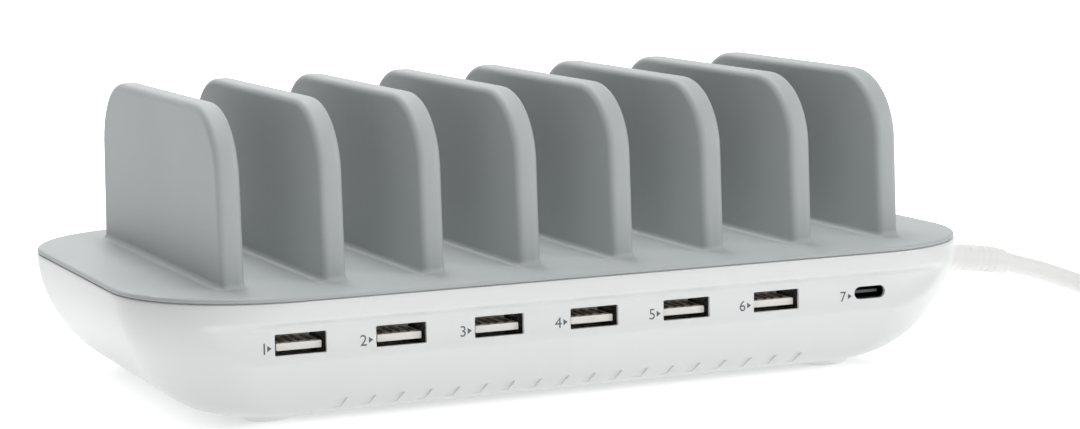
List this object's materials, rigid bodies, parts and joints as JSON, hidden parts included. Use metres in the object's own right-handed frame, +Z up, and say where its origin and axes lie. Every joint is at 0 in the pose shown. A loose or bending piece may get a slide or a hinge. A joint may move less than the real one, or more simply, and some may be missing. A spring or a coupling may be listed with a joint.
{
  "type": "multi-device charging station",
  "caption": "Mains-powered desk charging station: hull-shaped white casing with a row of USB ports under a grey cover with upright dividers that hold phones and tablets",
  "frame": {"origin": "on the surface the feet stand on, under the middle of the casing", "axes": "+X along the front from the first port to the USB-C port, +Y to the back, +Z up; the ports face -Y and the mains lead leaves at +X"},
  "size_m": [0.3687, 0.1669, 0.0765],
  "materials": {
    "grey_plastic": "fine satin grain, light cool grey",
    "white_plastic": "smooth semi-gloss white moulding",
    "white_pvc": "soft white PVC with a slight sheen",
    "socket_plastic": "white moulded socket tongue",
    "foot_rubber": "matte off-white rubber",
    "plated_steel": "nickel-plated steel sheet and screws",
    "plated_brass": "nickel-plated brass",
    "aluminium": "plain extruded aluminium",
    "circuit_board": "green solder resist on glass epoxy",
    "ferrite": "dark sintered ferrite",
    "winding_tape": "yellow polyester tape over the winding",
    "enamelled_copper": "enamelled copper winding",
    "capacitor_sleeve": "dark shrink sleeve",
    "film_capacitor": "yellow potted case",
    "black_plastic": "black moulded plastic",
    "insulating_film": "milky polypropylene sheet",
    "fuse_ceramic": "off-white ceramic",
    "wire_brown": "brown PVC wire",
    "wire_red": "red PVC wire"
  },
  "bodies": {
    "root": {"deck_cover": "grey_plastic", "base_casing": "white_plastic", "rubber_foot_1": "foot_rubber", "case_screw_1": "plated_steel", "power_board_screw_1": "plated_steel", "rubber_foot_2": "foot_rubber", "case_screw_2": "plated_steel", "power_board_screw_2": "plated_steel", "rubber_foot_3": "foot_rubber", "case_screw_3": "plated_steel", "power_board_screw_3": "plated_steel", "rubber_foot_4": "foot_rubber", "case_screw_4": "plated_steel", "power_board_screw_4": "plated_steel", "usb_board": "circuit_board", "usb_a_shell_1": "plated_steel", "usb_a_tongue_1": "socket_plastic", "usb_a_shell_2": "plated_steel", "usb_a_tongue_2": "socket_plastic", "usb_a_shell_3": "plated_steel", "usb_a_tongue_3": "socket_plastic", "usb_a_shell_4": "plated_steel", "usb_a_tongue_4": "socket_plastic", "usb_a_shell_5": "plated_steel", "usb_a_tongue_5": "socket_plastic", "usb_a_shell_6": "plated_steel", "usb_a_tongue_6": "socket_plastic", "usb_c_shell": "plated_steel", "usb_c_tongue": "black_plastic", "usb_board_screw_1": "plated_steel", "usb_board_screw_2": "plated_steel", "power_board": "circuit_board", "transformer_core": "ferrite", "transformer_winding": "winding_tape", "bulk_capacitor": "capacitor_sleeve", "output_capacitor_1": "capacitor_sleeve", "output_capacitor_2": "capacitor_sleeve", "mains_choke": "enamelled_copper", "x_capacitor": "film_capacitor", "fuse": "fuse_ceramic", "bridge_rectifier": "black_plastic", "primary_heat_sink": "aluminium", "secondary_heat_sink": "aluminium", "insulating_sheet": "insulating_film", "mains_inlet": "black_plastic", "inlet_pin_1": "plated_brass", "inlet_pin_2": "plated_brass", "mains_wire_1": "wire_brown", "mains_wire_2": "wire_brown", "output_wire_1": "wire_red", "output_wire_2": "wire_red", "cord_connector": "white_pvc", "cord_lead": "white_pvc", "cord_coil": "white_pvc", "cord_tail": "white_pvc", "wall_plug": "white_pvc", "plug_blade_1": "plated_brass", "plug_blade_2": "plated_brass", "coil_tie": "black_plastic"}
  },
  "joints": []
}
